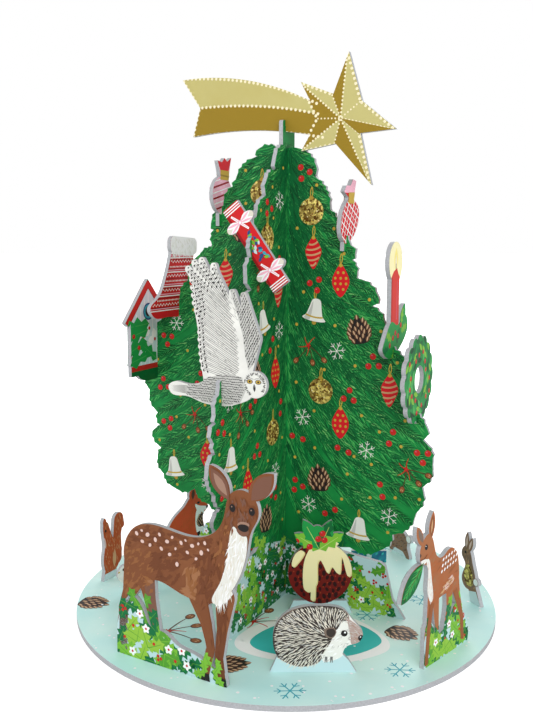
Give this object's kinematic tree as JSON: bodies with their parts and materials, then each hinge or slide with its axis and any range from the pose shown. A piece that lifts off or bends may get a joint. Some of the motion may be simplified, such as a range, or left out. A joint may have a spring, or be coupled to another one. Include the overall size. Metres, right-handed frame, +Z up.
{
  "type": "slot-together advent calendar",
  "caption": "Round snow base with a tree of crossed board panels, and figures and ornaments of flat board slotted onto the base and the tree's edges.",
  "frame": {"origin": "middle of the base disc's underside, on the table", "axes": "+Z up the trunk, +X along the side panel's right wing, -Y along the front panel's front wing"},
  "size_m": [0.204, 0.204, 0.2589],
  "materials": {
    "snow_print": "satin coated print",
    "tree_print": "satin coated print",
    "gold_print": "satin coated print",
    "sweet_print": "satin coated print",
    "red_print": "satin coated print",
    "house_print": "satin coated print",
    "white_print": "satin coated print",
    "leaf_print": "satin coated print",
    "brown_print": "satin coated print",
    "grey_print": "satin coated print",
    "pudding_print": "satin coated print",
    "rust_print": "satin coated print",
    "beige_print": "satin coated print",
    "blue_print": "satin coated print"
  },
  "bodies": {
    "root": {"base_disc": "snow_print", "tree_panel_front": "tree_print", "tree_panel_side": "tree_print", "shooting_star": "gold_print", "pink_sweet": "sweet_print", "check_sweet": "sweet_print", "cracker": "red_print", "stocking": "red_print", "bird_house": "house_print", "owl": "white_print", "candle": "red_print", "wreath": "leaf_print", "deer": "brown_print", "young_deer": "brown_print", "hedgehog": "grey_print", "pudding": "pudding_print", "fox": "rust_print", "squirrel": "rust_print", "thrush": "grey_print", "brown_hare": "brown_print", "gold_hare": "beige_print", "gift_box": "blue_print"}
  },
  "joints": []
}
